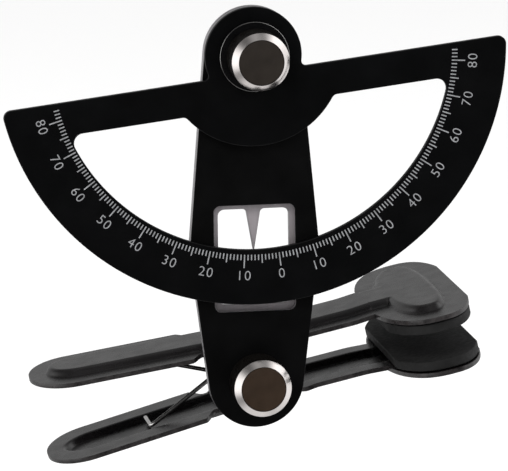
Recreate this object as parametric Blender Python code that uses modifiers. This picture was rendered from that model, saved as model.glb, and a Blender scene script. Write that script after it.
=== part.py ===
"""Clip-on goniometer: a half-round protractor turns on an arm, and a sprung clip holds the arm.

+Z runs up the arm and the dial faces -Y. The origin is the middle of the lower jaw's gripping face.
Angles that turn a piece counter-clockwise, seen from the dial side, are positive.
"""

import math

import bmesh
import bpy
from mathutils import Matrix, Vector

MM = 0.001
GAP = 0.3 * MM  # between pieces that rest on each other or turn in each other

# Clip: s runs along it towards the jaws, t is the height over its middle plane, both from the pin
CLIP_TILT = 12.2  # degrees, the jaws' rise over the line square to the arm
LEAF_SHEET = 0.9 * MM
LEAF_HEIGHT = 6.0 * MM  # middle of the sheet at the pin
NECK_DROP = 0.7 * MM  # the neck lies this much nearer the pin than the hinge's sheet
JAW_DROP = 0.4 * MM
HANDLE_SLOPE = 0.06
HANDLE_BEND = -6 * MM
HANDLE_END = -43.6 * MM
HANDLE_HALF = 13.0 * MM
HANDLE_ROUND = 8.8 * MM
NECK_HALF = 11.7 * MM
JAW_END = 45.8 * MM
JAW_MIDDLE = 38.0 * MM
JAW_HALF = 28.2 * MM
JAW_BACK = 11.5 * MM  # length of the jaw's rounded outline behind its middle
JAW_FRONT = 8.7 * MM  # and in front of it, before the front edge cuts it off
BACK_POWER = 2.4  # fullness of those outlines; 2 is an ellipse
FRONT_POWER = 2.6
EAR_FROM = -8.8 * MM
EAR_TO = 7.5 * MM
SHOULDER = 2.8 * MM  # length over which the sheet narrows to its ears
UPPER_EAR_HALF = 9.5 * MM
LOWER_EAR_HALF = 8.2 * MM
EAR_R = 4.0 * MM
PRESS_RISE = 1.25 * MM  # height of the pressed rib and panel over the flat sheet
PRESS_WALL = 1.4 * MM  # width of their sloping walls
RIB_END = -40.2 * MM
RIB_HALF = 7.0 * MM
PANEL_MIDDLE = 37.4 * MM
PANEL_BACK = 7.0 * MM
PANEL_FRONT = 4.6 * MM
PANEL_HALF = 21.6 * MM
PAD_FROM = 28.2 * MM
PAD_INSET = 0.5 * MM
PAD_THICK = 2.0 * MM
GRIP_MIDDLE = 36.5 * MM

# Levels along Y, from the clip's middle plane towards the dial
PIN_R = 2.0 * MM
BORE_R = PIN_R + 0.1 * MM  # a running fit
ARM_BACK = -13.3 * MM
PLATE = 1.2 * MM
COVER_BACK = ARM_BACK - PLATE - GAP
DIAL_BACK = COVER_BACK - PLATE - GAP
DIAL_FRONT = DIAL_BACK - PLATE

# Arm, measured down from the dial's pivot
ARM_LENGTH = 66.4 * MM
ARM_END_R = 9.7 * MM
ARM_WIDE_HALF = 13.2 * MM
ARM_WIDE_DROP = 39.5 * MM
ARM_WIDE_ROUND = 14 * MM
WINDOW_HALF = 8.25 * MM
WINDOW_TOP = -30.5 * MM
WINDOW_BOTTOM = -52.2 * MM
WINDOW_ROUND = 1.3 * MM
BAND_SIDE = 1.05 * MM
BAND_TOP = 1.0 * MM
BAND_BOTTOM = 1.25 * MM
POINTER_TIP = -39.8 * MM
POINTER_TIP_HALF = 0.12 * MM
POINTER_ROOT_HALF = 1.5 * MM

# Dial: the ring's centre is a little above the pivot
DIAL_TILT = 6.7  # degrees
RING_RISE = 1.05 * MM
RING_OUTER = 51.6 * MM
RING_INNER = 40.4 * MM
BAR_TOP = -3.6 * MM
BAR_BOTTOM = -10.3 * MM
DIAL_HEAD_R = 9.8 * MM
DIAL_HUB_R = 18.3 * MM

# Knobs and pivots
KNOB_R = 5.8 * MM
KNOB_FACE_R = 4.6 * MM
KNOB_RIM = 7.35 * MM  # height of the cylinder under the chamfer
KNOB_TALL = 8.4 * MM
CAP_R = 4.2 * MM
CAP_THICK = 0.8 * MM
DISC_THICK = 0.5 * MM
WASHER_R = 7.0 * MM
WASHER_THICK = 0.7 * MM
BUSH_R = 3.3 * MM

# Torsion spring
WIRE_R = 0.45 * MM
COIL_R = 3.3 * MM
COIL_HALF = 4.3 * MM
COIL_EXTRA_TURNS = 5
LEG_REACH = 22 * MM
LEG_HEIGHT = 6.6 * MM
HOOK = 8.2 * MM

ROUND_STEPS = 40
FACE_FRONT = (math.radians(90), 0, 0)  # turns a flat outline's Y to +Z and its Z to -Y

BLACK = ("black_anodised", (0.012, 0.012, 0.013), 0.42, 0.3)
DARK_SHEET = ("dark_clip_steel", (0.10, 0.095, 0.10), 0.38, 0.85)
STEEL = ("bright_steel", (0.62, 0.61, 0.60), 0.25, 1.0)
GREY_PLATE = ("grey_plate", (0.36, 0.34, 0.35), 0.45, 0.8)
CAP_FINISH = ("dark_cap", (0.045, 0.038, 0.033), 0.4, 0.6)
RUBBER = ("black_rubber", (0.02, 0.02, 0.02), 0.8, 0.0)
NYLON = ("grey_nylon", (0.25, 0.25, 0.24), 0.6, 0.0)


def clear_scene():
    for obj in list(bpy.data.objects):
        bpy.data.objects.remove(obj, do_unlink=True)


def new_collection(name):
    collection = bpy.data.collections.new(name)
    bpy.context.scene.collection.children.link(collection)
    return collection


def material(finish):
    name, colour, roughness, metallic = finish
    found = bpy.data.materials.get(name)
    if found:
        return found
    made = bpy.data.materials.new(name)
    made.use_nodes = True
    shader = made.node_tree.nodes["Principled BSDF"]
    shader.inputs["Base Color"].default_value = (*colour, 1)
    shader.inputs["Roughness"].default_value = roughness
    shader.inputs["Metallic"].default_value = metallic
    return made


def place(name, data, finish, parent, location=(0, 0, 0), rotation=(0, 0, 0), into=None):
    obj = bpy.data.objects.new(name, data)
    data.materials.append(material(finish))
    (into or PARTS).objects.link(obj)
    obj.parent = parent
    obj.location = location
    obj.rotation_euler = rotation
    return obj


def empty(name, parent=None, location=(0, 0, 0), turn=0.0):
    """An axis along Y that pieces are parented to, turned counter-clockwise by turn degrees."""
    obj = bpy.data.objects.new(name, None)
    PARTS.objects.link(obj)
    obj.parent = parent
    obj.location = location
    obj.rotation_euler = (0, -math.radians(turn), 0)
    return obj


def arc(centre, radius, start, end, steps):
    """Points on a circle from one angle to another, in degrees, both ends included."""
    turns = [math.radians(start + (end - start) * i / steps) for i in range(steps + 1)]
    return [(centre[0] + radius * math.cos(a), centre[1] + radius * math.sin(a)) for a in turns]


def circle(radius, steps=ROUND_STEPS, centre=(0, 0)):
    return arc(centre, radius, 0, 360, steps)[:-1]


def rounded(corners, steps=6):
    """A closed outline of straight sides; each corner is (x, y, radius)."""
    points = []
    for i, (x, y, radius) in enumerate(corners):
        here = Vector((x, y))
        to_last = (Vector(corners[i - 1][:2]) - here).normalized()
        to_next = (Vector(corners[(i + 1) % len(corners)][:2]) - here).normalized()
        if radius == 0:
            points.append((x, y))
            continue
        half = to_last.angle(to_next) / 2
        centre = here + (to_last + to_next).normalized() * radius / math.sin(half)
        first = here + to_last * radius / math.tan(half) - centre
        last = here + to_next * radius / math.tan(half) - centre
        turn = first.angle_signed(last)
        for k in range(steps + 1):
            spoke = first.copy()
            spoke.rotate(Matrix.Rotation(-turn * k / steps, 2))
            points.append(tuple(centre + spoke))
    return points


def outline_curve(name, outlines, thickness):
    curve = bpy.data.curves.new(name, "CURVE")
    curve.dimensions = "2D"
    curve.fill_mode = "BOTH"
    curve.extrude = thickness / 2
    for outline in outlines:
        spline = curve.splines.new("POLY")
        spline.points.add(len(outline) - 1)
        spline.use_cyclic_u = True
        for point, (x, y) in zip(spline.points, outline):
            point.co = (x, y, 0, 1)
    return curve


def front_plate(name, outlines, back, thickness, finish, parent):
    """A flat piece parallel to the dial; back is its rear face's level along Y."""
    curve = outline_curve(name, outlines, thickness)
    return place(name, curve, finish, parent, (0, back - thickness / 2, 0), FACE_FRONT)


def turned(name, profile, back, finish, parent, steps=ROUND_STEPS):
    """A ring turned about the Y axis. profile is its closed section as (radius, height over back)."""
    mesh = bpy.data.meshes.new(name)
    edges = [(i, (i + 1) % len(profile)) for i in range(len(profile))]
    mesh.from_pydata([(r, 0, z) for r, z in profile], edges, [])
    obj = place(name, mesh, finish, parent, (0, back, 0), FACE_FRONT)
    screw = obj.modifiers.new("Turn", "SCREW")
    screw.steps = screw.render_steps = steps
    screw.use_merge_vertices = True
    screw.merge_threshold = 1e-6
    return obj


def ring_section(inner, outer, thickness, chamfer=0.0):
    """A washer's section, listed down its outer side and up its bore."""
    return [
        (inner, thickness),
        (outer - chamfer, thickness),
        (outer, thickness - chamfer),
        (outer, 0),
        (inner, 0),
    ] if chamfer else [(inner, thickness), (outer, thickness), (outer, 0), (inner, 0)]


def smooth(value, low, high):
    """0 below low, 1 above high, and an S-curve between."""
    x = min(max((value - low) / (high - low), 0.0), 1.0)
    return x * x * (3 - 2 * x)


# ---- clip leaves


def inside_outline(s, y, middle, back, front, half):
    """Roughly how far inside a rounded outline a point is."""
    reach, power = (back, BACK_POWER) if s < middle else (front, FRONT_POWER)
    along, across = abs(s - middle) / reach, abs(y) / half
    size = (along**power + across**power) ** (1 / power)
    if size < 0.1:
        return front
    slope = math.hypot((along / size) ** (power - 1) / reach, (across / size) ** (power - 1) / half)
    return (1 - size) / slope


def inside_press(s, y):
    """Roughly how far inside the foot of the pressed rib or panel a point is."""
    past_end = min(s - (RIB_END + RIB_HALF), 0)
    rib = RIB_HALF - math.hypot(past_end, y) if s < PANEL_MIDDLE else -PRESS_WALL
    return max(rib, inside_outline(s, y, PANEL_MIDDLE, PANEL_BACK, PANEL_FRONT, PANEL_HALF))


def jaw_half_width(s):
    """Half the jaw's width at s, and 0 where the jaw has not begun."""
    reach, power = (JAW_BACK, BACK_POWER) if s < JAW_MIDDLE else (JAW_FRONT, FRONT_POWER)
    return JAW_HALF * max(1 - (abs(s - JAW_MIDDLE) / reach) ** power, 0) ** (1 / power)


def leaf_half_width(s, ear_half):
    """Half the leaf's width at s."""
    if s < HANDLE_END + HANDLE_ROUND:
        reach = (HANDLE_END + HANDLE_ROUND - s) / HANDLE_ROUND
        return HANDLE_HALF * math.sqrt(max(1 - reach**2, 0.012))
    if s < EAR_FROM:
        return HANDLE_HALF + (ear_half - HANDLE_HALF) * smooth(s, EAR_FROM - SHOULDER, EAR_FROM)
    neck = ear_half + (NECK_HALF - ear_half) * smooth(s, EAR_TO, EAR_TO + SHOULDER)
    return max(neck, jaw_half_width(s))


def leaf_base(s):
    """Height of the flat sheet's middle: it slopes along the handle and steps at the neck and jaw."""
    handle = HANDLE_SLOPE * max(HANDLE_BEND - s, 0)
    neck = NECK_DROP * smooth(s, 6 * MM, 13 * MM)
    jaw = (NECK_DROP - JAW_DROP) * smooth(s, 22 * MM, 28.2 * MM)
    return LEAF_HEIGHT + handle - neck + jaw


def leaf_height(s, y):
    """Height of the sheet's middle with the pressed rib and panel."""
    return leaf_base(s) + PRESS_RISE * smooth(inside_press(s, y), 0, PRESS_WALL)


def press_edge(s, half, level):
    """The y at which the pressing is a given distance inside its foot, at s."""
    low, high = 0, half
    for _ in range(24):
        y = (low + high) / 2
        if inside_press(s, y) > level:
            low = y
        else:
            high = y
    return low


def leaf_across(s, half):
    """Places across the leaf at s, one at the crest and one at the foot of each pressed wall."""
    foot = min(max(press_edge(s, half, 0), 0.5 * half), 0.88 * half)
    crest = min(max(press_edge(s, half, PRESS_WALL), 0.25 * half), 0.8 * foot if foot < 6 * MM else foot - PRESS_WALL)
    side = [crest / 2, crest, (crest + foot) / 2, foot, (foot + half) / 2, half]
    return [-y for y in reversed(side)] + [0] + side


def leaf_stations():
    """Places along the leaf where a row of points lies, closer together where the outline turns."""
    tip = [HANDLE_END + HANDLE_ROUND * (1 - math.cos(math.radians(a))) for a in (4, 22, 40, 58, 75, 90)]
    handle = [-27 * MM, -20 * MM, EAR_FROM - SHOULDER]
    ears = [EAR_FROM - SHOULDER / 2, EAR_FROM, 0, 5 * MM, EAR_TO, EAR_TO + SHOULDER / 2, EAR_TO + SHOULDER]
    neck = [13 * MM, 20 * MM, 24 * MM, 26.6 * MM, 27.1 * MM, 27.5 * MM]
    jaw = [28.4 * MM, 29.6 * MM, 31.2 * MM, 33 * MM, 35.5 * MM, 38 * MM, 40.6 * MM, 41.3 * MM, 42 * MM, 43.2 * MM]
    jaw += [44.5 * MM, JAW_END]
    return tip + handle + ears + neck + jaw


def ear_outline():
    """A flange from the leaf's sheet to a round eye about the pin, with the leaf above the pin."""
    root = LEAF_HEIGHT + 0.3 * LEAF_SHEET
    lean_from = 90 + math.degrees(math.atan2(root, -EAR_FROM)) - math.degrees(math.acos(EAR_R / math.hypot(root, EAR_FROM)))
    lean_to = 90 + math.degrees(math.atan2(root, EAR_TO)) - math.degrees(math.acos(EAR_R / math.hypot(root, EAR_TO)))
    eye = arc((0, 0), EAR_R, 90 + lean_from, 450 - lean_to, 22)
    return [(EAR_TO, root), (EAR_FROM, root)] + eye


def ear_mesh(name, ear_half, side, flip):
    """One flange as a closed mesh in the clip's own axes."""
    outline = [(x, flip * y) for x, y in ear_outline()]
    curve = outline_curve(name, [outline, circle(BORE_R, 24)], LEAF_SHEET)
    made = bpy.data.objects.new(name, curve)
    CUTTERS.objects.link(made)
    graph = bpy.context.evaluated_depsgraph_get()
    mesh = bpy.data.meshes.new_from_object(made.evaluated_get(graph))
    bpy.data.objects.remove(made, do_unlink=True)
    middle = side * (ear_half - LEAF_SHEET / 2)
    mesh.transform(Matrix.Translation((0, middle, 0)) @ Matrix.Rotation(math.radians(90), 4, "X"))
    tidy = bmesh.new()
    tidy.from_mesh(mesh)
    bmesh.ops.remove_doubles(tidy, verts=tidy.verts, dist=1e-6)
    bmesh.ops.recalc_face_normals(tidy, faces=tidy.faces)
    tidy.to_mesh(mesh)
    tidy.free()
    return mesh


def leaf(name, flip, ear_half, parent):
    """One pressed clip leaf with its two ears; flip is 1 over the pin and -1 under it."""
    sheet_half = ear_half - 0.3 * MM
    shape = bmesh.new()
    rows = []
    for s in leaf_stations():
        half = leaf_half_width(s, sheet_half)
        rows.append([shape.verts.new((s, y, flip * leaf_height(s, y))) for y in leaf_across(s, half)])
    for low, high in zip(rows, rows[1:]):
        for j in range(len(low) - 1):
            shape.faces.new((low[j], high[j], high[j + 1], low[j + 1]))
    mesh = bpy.data.meshes.new(name)
    shape.to_mesh(mesh)
    shape.free()
    obj = place(name, mesh, DARK_SHEET, parent)
    shell = obj.modifiers.new("Sheet", "SOLIDIFY")
    shell.thickness = LEAF_SHEET
    shell.offset = 0
    for side, word in ((-1, "front"), (1, "rear")):
        cutter_name = f"{name}_{word}_ear"
        ear = place(cutter_name, ear_mesh(cutter_name, ear_half, side, flip), DARK_SHEET, parent, into=CUTTERS)
        ear.hide_render = True
        ear.display_type = "WIRE"
        join = obj.modifiers.new(f"Join {word} ear", "BOOLEAN")
        join.operation = "UNION"
        join.object = ear
    return obj


def grip_pad(name, flip, parent):
    """The rubber slab under a jaw, with the jaw's own outline."""
    stations = [PAD_FROM + (JAW_END - PAD_INSET - PAD_FROM) * i / 12 for i in range(13)]
    side = [(s, leaf_half_width(s, NECK_HALF) - PAD_INSET) for s in stations]
    outline = side + [(s, -y) for s, y in reversed(side)]
    level = LEAF_HEIGHT - JAW_DROP - LEAF_SHEET / 2 - GAP - PAD_THICK / 2
    return place(name, outline_curve(name, [outline], PAD_THICK), RUBBER, parent, (0, 0, flip * level))


# ---- flat plates


def tangent_angle(distance, radius_from):
    """Angle between the line of two centres and a spoke to where a line through the far one touches."""
    return math.degrees(math.acos(radius_from / distance))


def arm_outline():
    """Both ends are round about the pivots, and the sides swell to one rounded corner between."""
    top_reach = math.hypot(ARM_WIDE_HALF, ARM_WIDE_DROP)
    low_drop = ARM_LENGTH - ARM_WIDE_DROP
    low_reach = math.hypot(ARM_WIDE_HALF, low_drop)
    top_from = -math.degrees(math.atan2(ARM_WIDE_DROP, ARM_WIDE_HALF)) + tangent_angle(top_reach, ARM_END_R)
    low_from = math.degrees(math.atan2(low_drop, ARM_WIDE_HALF)) - tangent_angle(low_reach, ARM_END_R)
    top = arc((0, 0), ARM_END_R, top_from, 180 - top_from, 24)
    low = arc((0, -ARM_LENGTH), ARM_END_R, 180 - low_from, 360 + low_from, 24)
    corners = [(x, y, 0) for x, y in top]
    corners.append((-ARM_WIDE_HALF, -ARM_WIDE_DROP, ARM_WIDE_ROUND))
    corners += [(x, y, 0) for x, y in low]
    corners.append((ARM_WIDE_HALF, -ARM_WIDE_DROP, ARM_WIDE_ROUND))
    return rounded(corners)


def window_outline():
    half, top, bottom, r = WINDOW_HALF, WINDOW_TOP, WINDOW_BOTTOM, WINDOW_ROUND
    return rounded([(-half, top, r), (-half, bottom, r), (half, bottom, r), (half, top, r)])


def pointer_window_outline():
    """The back plate's smaller window, with the pointer hanging from the middle of its top side."""
    half = WINDOW_HALF - BAND_SIDE
    top = WINDOW_TOP - BAND_TOP
    bottom = WINDOW_BOTTOM + BAND_BOTTOM
    r = WINDOW_ROUND
    return rounded([
        (-half, top, r),
        (-half, bottom, r),
        (half, bottom, r),
        (half, top, r),
        (POINTER_ROOT_HALF, top, 0.9 * MM),
        (POINTER_TIP_HALF, POINTER_TIP, 0),
        (-POINTER_TIP_HALF, POINTER_TIP, 0),
        (-POINTER_ROOT_HALF, top, 0.9 * MM),
    ])


def fillet_centre(centre_y, radius, line_y, fillet, outside_circle, above_line):
    """Centre, on the +X side, of a fillet between a circle on the Y axis and a level line."""
    y = line_y + (fillet if above_line else -fillet)
    reach = radius + (fillet if outside_circle else -fillet)
    return math.sqrt(reach**2 - (y - centre_y) ** 2), y


def spoke(centre, point):
    return math.degrees(math.atan2(point[1] - centre[1], point[0] - centre[0]))


def mirrored(points):
    """The outline's right half, then its mirror image back to the start."""
    return points + [(-x, y) for x, y in reversed(points)]


def dial_outline():
    head_fillet = 1.0 * MM
    tip_fillet = 1.6 * MM
    ring = (0, RING_RISE)
    head = fillet_centre(0, DIAL_HEAD_R, BAR_TOP, head_fillet, True, True)
    tip = fillet_centre(RING_RISE, RING_OUTER, BAR_TOP, tip_fillet, False, False)
    right = arc((0, 0), DIAL_HEAD_R, 90, spoke((0, 0), head), 14)
    right += arc(head, head_fillet, 180 + spoke((0, 0), head), 270, 5)
    right += arc(tip, tip_fillet, 90, spoke(ring, tip), 6)
    right += arc(ring, RING_OUTER, spoke(ring, tip), -90, 48)
    return mirrored(right[1:-1])


def dial_void_outline():
    """The open half-moon between the bar, the hub and the ring."""
    hub_fillet = 1.2 * MM
    tip_fillet = 2.0 * MM
    ring = (0, RING_RISE)
    hub = fillet_centre(0, DIAL_HUB_R, BAR_BOTTOM, hub_fillet, True, False)
    tip = fillet_centre(RING_RISE, RING_INNER, BAR_BOTTOM, tip_fillet, False, False)
    right = arc((0, 0), DIAL_HUB_R, -90, spoke((0, 0), hub), 12)
    right += arc(hub, hub_fillet, 180 + spoke((0, 0), hub), 90, 5)
    right += arc(tip, tip_fillet, 90, spoke(ring, tip), 6)
    right += arc(ring, RING_INNER, spoke(ring, tip), -90, 40)
    return mirrored(right[1:-1])


# ---- turned pieces and the spring


def knob(prefix, back, parent):
    """A thumb nut with a chamfered rim, and the dark disc that closes its bore."""
    floor = KNOB_TALL - CAP_THICK - GAP
    bore = BORE_R
    section = [
        (CAP_R + GAP, KNOB_TALL),
        (KNOB_FACE_R, KNOB_TALL),
        (KNOB_R, KNOB_RIM),
        (KNOB_R, 0.4 * MM),
        (KNOB_R - 0.4 * MM, 0),
        (bore, 0),
        (bore, floor),
        (CAP_R + GAP, floor),
    ]
    turned(f"{prefix}_knob_body", section, back, BLACK, parent)
    cap_back = back - floor - GAP
    front_plate(f"{prefix}_knob_cap", [circle(CAP_R, 32)], cap_back, CAP_THICK, CAP_FINISH, parent)


def headed_pin(name, head_r, head_thick, back, front, finish, parent):
    """A pin along Y: its head's rear face is at back, and its shank ends at front."""
    length = back - front
    mesh = bpy.data.meshes.new(name)
    profile = [
        (0, length),
        (PIN_R - 0.3 * MM, length),
        (PIN_R, length - 0.3 * MM),
        (PIN_R, head_thick),
        (head_r, head_thick),
        (head_r, 0.4 * MM),
        (head_r - 0.4 * MM, 0),
        (0, 0),
    ]
    edges = [(i, i + 1) for i in range(len(profile) - 1)]
    mesh.from_pydata([(r, 0, z) for r, z in profile], edges, [])
    obj = place(name, mesh, finish, parent, (0, back, 0), FACE_FRONT)
    screw = obj.modifiers.new("Turn", "SCREW")
    screw.steps = screw.render_steps = 28
    screw.use_merge_vertices = True
    screw.merge_threshold = 1e-6
    return obj


def spring_points():
    """Hook, leg, coil, leg, hook. The lower leg leaves the coil's top, and the upper its bottom."""
    reach = math.hypot(LEG_REACH, LEG_HEIGHT)
    touch = 180 + math.degrees(math.atan2(LEG_HEIGHT, LEG_REACH)) - math.degrees(math.acos(COIL_R / reach))
    turn = 2 * touch + 360 * COIL_EXTRA_TURNS
    steps = round(turn / 24)
    points = [(-LEG_REACH, HOOK - COIL_HALF, -LEG_HEIGHT), (-LEG_REACH, -COIL_HALF, -LEG_HEIGHT)]
    for i in range(steps + 1):
        a = math.radians(touch - turn * i / steps)
        y = -COIL_HALF + 2 * COIL_HALF * i / steps
        points.append((COIL_R * math.cos(a), y, COIL_R * math.sin(a)))
    points += [(-LEG_REACH, COIL_HALF, LEG_HEIGHT), (-LEG_REACH, COIL_HALF - HOOK, LEG_HEIGHT)]
    return points


def torsion_spring(parent):
    curve = bpy.data.curves.new("torsion_spring", "CURVE")
    curve.dimensions = "3D"
    curve.bevel_depth = WIRE_R
    curve.bevel_resolution = 2
    curve.use_fill_caps = True
    points = spring_points()
    spline = curve.splines.new("POLY")
    spline.points.add(len(points) - 1)
    for point, place_at in zip(spline.points, points):
        point.co = (*place_at, 1)
    return place("torsion_spring", curve, STEEL, parent)


def grip_centre():
    """The lower jaw's gripping face, from the pin, as world X and Z."""
    tilt = math.radians(CLIP_TILT)
    t = -(LEAF_HEIGHT - JAW_DROP - LEAF_SHEET / 2 - GAP - PAD_THICK)
    s = GRIP_MIDDLE
    return s * math.cos(tilt) - t * math.sin(tilt), s * math.sin(tilt) + t * math.cos(tilt)


def build_clip(pin):
    base = empty("clip_base_axis", None, pin, CLIP_TILT)
    jaw = empty("upper_jaw_axis", None, pin, CLIP_TILT)
    leaf("lower_leaf", -1, LOWER_EAR_HALF, base)
    leaf("upper_leaf", 1, UPPER_EAR_HALF, jaw)
    grip_pad("lower_grip_pad", -1, base)
    grip_pad("upper_grip_pad", 1, jaw)
    torsion_spring(base)
    sleeve_back = -UPPER_EAR_HALF - GAP
    sleeve = ring_section(BORE_R, BUSH_R, sleeve_back - ARM_BACK - GAP)
    turned("spacer_sleeve", sleeve, sleeve_back, STEEL, base, 28)
    knob_back = DIAL_BACK - DISC_THICK - GAP
    pin_front = knob_back - KNOB_TALL + CAP_THICK + 4 * GAP
    pin_back = UPPER_EAR_HALF + GAP + 1.4 * MM
    headed_pin("clip_pin", 3.6 * MM, 1.4 * MM, pin_back, pin_front, STEEL, base)
    disc = ring_section(BORE_R, 5.4 * MM, DISC_THICK)
    turned("lower_friction_disc", disc, DIAL_BACK, NYLON, base, 32)
    knob("lower", knob_back, base)


def build_arm(pin):
    arm = empty("arm_axis", None, pin)
    top = empty("arm_top", arm, (0, 0, ARM_LENGTH))
    pivots = [circle(BUSH_R + GAP, 28, (0, -ARM_LENGTH)), circle(BORE_R, 24)]
    cover = [arm_outline(), window_outline(), *pivots]
    front_plate("arm_cover_plate", cover, COVER_BACK, PLATE, BLACK, top)
    pointer = [arm_outline(), pointer_window_outline(), *pivots]
    front_plate("pointer_plate", pointer, ARM_BACK, PLATE, GREY_PLATE, top)
    bush = ring_section(BORE_R, BUSH_R, ARM_BACK - DIAL_BACK - GAP)
    turned("arm_bush", bush, ARM_BACK, STEEL, arm, 28)
    washer = ring_section(BORE_R, 5.0 * MM, 0.6 * MM)
    turned("rear_washer", washer, ARM_BACK + GAP + 0.6 * MM, STEEL, top, 32)
    washer_back = DIAL_FRONT - 2 * GAP - DISC_THICK
    knob_back = washer_back - WASHER_THICK - GAP
    stud_back = ARM_BACK + 2 * GAP + 2.0 * MM
    stud_front = knob_back - KNOB_TALL + CAP_THICK + 4 * GAP
    headed_pin("pivot_stud", 4.0 * MM, 1.4 * MM, stud_back, stud_front, STEEL, top)
    disc = ring_section(BORE_R, 6.2 * MM, DISC_THICK)
    turned("upper_friction_disc", disc, DIAL_FRONT - GAP, NYLON, top, 32)
    turned("upper_washer", ring_section(BORE_R, WASHER_R, WASHER_THICK, 0.2 * MM), washer_back, BLACK, top, 48)
    knob("upper", knob_back, top)


def build_dial(pin):
    dial = empty("dial_axis", None, Vector(pin) + Vector((0, 0, ARM_LENGTH)), DIAL_TILT)
    outlines = [dial_outline(), dial_void_outline(), circle(BUSH_R + GAP, 28)]
    front_plate("protractor_plate", outlines, DIAL_BACK, PLATE, BLACK, dial)
    turned("protractor_bush", ring_section(BORE_R, BUSH_R, PLATE), DIAL_BACK, STEEL, dial, 28)


clear_scene()
PARTS = new_collection("clip_on_goniometer")
CUTTERS = new_collection("cutters")
grip_x, grip_z = grip_centre()
PIN = (-grip_x, 0, -grip_z)
build_clip(PIN)
build_arm(PIN)
build_dial(PIN)
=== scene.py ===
"""Looks for the clip-on goniometer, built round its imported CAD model.

The frame's axes are kept: +Z runs up the arm, the dial faces -Y, and the jaws point along +X.
Flat and turned pieces are made lying down, with their faces towards local +Z, and then stood up so
that local +Z is -Y. Lengths are in metres.
"""

import math

import bmesh
import bpy
from mathutils import Matrix, Vector


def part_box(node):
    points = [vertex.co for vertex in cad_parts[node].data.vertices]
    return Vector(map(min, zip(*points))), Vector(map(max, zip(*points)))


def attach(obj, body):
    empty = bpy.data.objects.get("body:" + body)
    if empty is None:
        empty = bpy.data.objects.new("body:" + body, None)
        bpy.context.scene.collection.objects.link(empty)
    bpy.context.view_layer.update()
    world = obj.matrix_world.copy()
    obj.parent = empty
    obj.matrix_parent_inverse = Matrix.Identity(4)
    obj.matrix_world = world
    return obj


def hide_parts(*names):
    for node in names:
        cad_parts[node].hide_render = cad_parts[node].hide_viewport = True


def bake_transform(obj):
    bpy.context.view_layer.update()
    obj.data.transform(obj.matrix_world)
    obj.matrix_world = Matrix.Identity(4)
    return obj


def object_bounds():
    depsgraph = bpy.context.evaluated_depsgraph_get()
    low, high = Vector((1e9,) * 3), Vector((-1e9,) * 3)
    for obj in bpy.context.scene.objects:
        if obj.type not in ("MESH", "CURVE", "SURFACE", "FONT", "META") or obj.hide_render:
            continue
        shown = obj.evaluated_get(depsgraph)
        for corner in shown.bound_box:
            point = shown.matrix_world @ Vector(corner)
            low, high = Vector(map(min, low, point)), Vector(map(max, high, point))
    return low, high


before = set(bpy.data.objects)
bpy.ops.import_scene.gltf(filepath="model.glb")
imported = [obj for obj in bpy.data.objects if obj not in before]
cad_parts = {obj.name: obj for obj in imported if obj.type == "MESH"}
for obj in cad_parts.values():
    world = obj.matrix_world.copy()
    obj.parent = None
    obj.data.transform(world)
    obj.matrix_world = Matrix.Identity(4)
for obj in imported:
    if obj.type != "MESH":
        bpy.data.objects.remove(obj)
CAD_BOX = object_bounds()

MM = 0.001
GAP = 0.3 * MM  # clearance left between pieces that fit into one another


def axis_of(node):
    """Centre of a turned node, as world X and Z."""
    low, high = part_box(node)
    return (low.x + high.x) / 2, (low.z + high.z) / 2


def front_of(node):
    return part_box(node)[0].y


def back_of(node):
    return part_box(node)[1].y


def thickness_of(node):
    return back_of(node) - front_of(node)


PIN = axis_of("lower_knob_body")
TOP = axis_of("upper_knob_body")
ARM_LENGTH = TOP[1] - PIN[1]

# Clip, measured along (s) and over (t) its middle plane from the pin
CLIP_TILT = 12.2
LEAF_SHEET = 0.9 * MM
LEAF_HEIGHT = 6.0 * MM
NECK_DROP = 0.7 * MM  # the neck lies this much nearer the pin than the hinge's sheet
NECK_STEP = (6 * MM, 13 * MM)  # where the sheet steps down to the neck
JAW_DROP = 0.4 * MM  # and the jaw this much
JAW_STEP = (22 * MM, 28.2 * MM)  # where it steps up again to the jaw
HANDLE_SLOPE = 0.06
HANDLE_BEND = -6 * MM
HANDLE_END = -43.6 * MM
HANDLE_HALF = 13.0 * MM
HANDLE_ROUND = 8.8 * MM
NECK_HALF = 11.7 * MM
JAW_END = 45.8 * MM
JAW_MIDDLE = 38.0 * MM
JAW_HALF = 28.2 * MM
JAW_BACK = 11.5 * MM  # length of the jaw's rounded outline behind its middle
JAW_FRONT = 8.7 * MM  # and in front of it, before the front edge cuts it off
BACK_POWER = 2.4  # fullness of those outlines; 2 is an ellipse
FRONT_POWER = 2.6
EAR_FROM = -8.8 * MM
EAR_TO = 7.5 * MM
SHOULDER = 2.8 * MM
UPPER_EAR_HALF = 9.5 * MM
LOWER_EAR_HALF = 8.2 * MM
EAR_R = 4.0 * MM
EAR_SINK = 0.3 * LEAF_SHEET  # how far the ears' roots reach into the sheet
EAR_EDGE = 0.1 * MM
EAR_INSET = 0.3 * MM  # the sheet is this much narrower than the ears' outer faces
LEAF_EDGE = 0.12 * MM
LEAF_EDGE_ANGLE = 50  # edges sharper than this are eased
LEAF_TIP_HALF = 0.6 * MM  # the sheet's outline never gets narrower than this
LEAF_COLUMNS = 56  # columns of faces on each side of the leaf's middle line
EDGE_CROWDING = 0.25  # how far those columns crowd towards the edges
ROW_STEP = 0.6 * MM
FINE_ROW_STEP = 0.25 * MM
SHOULDER_MARGIN = 0.5 * MM
JAW_ROW_STEP = 0.35 * MM
FINE_JAW_ROW_STEP = 0.2 * MM
FINE_JAW_LENGTH = 2 * MM
JAW_ROWS_END = 44.6 * MM
BODY_ROWS_STOP = 0.8 * MM  # how far before the jaw's outline begins the even rows stop
BODY_ROWS_CLEAR = 0.4 * MM
JOIN_ROWS = (0.3 * MM, 0.1 * MM, 0)  # rows this far before that place
END_ROWS = 5
PRESS_RISE = 1.25 * MM  # height of the pressed rib and panel over the flat sheet
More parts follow.
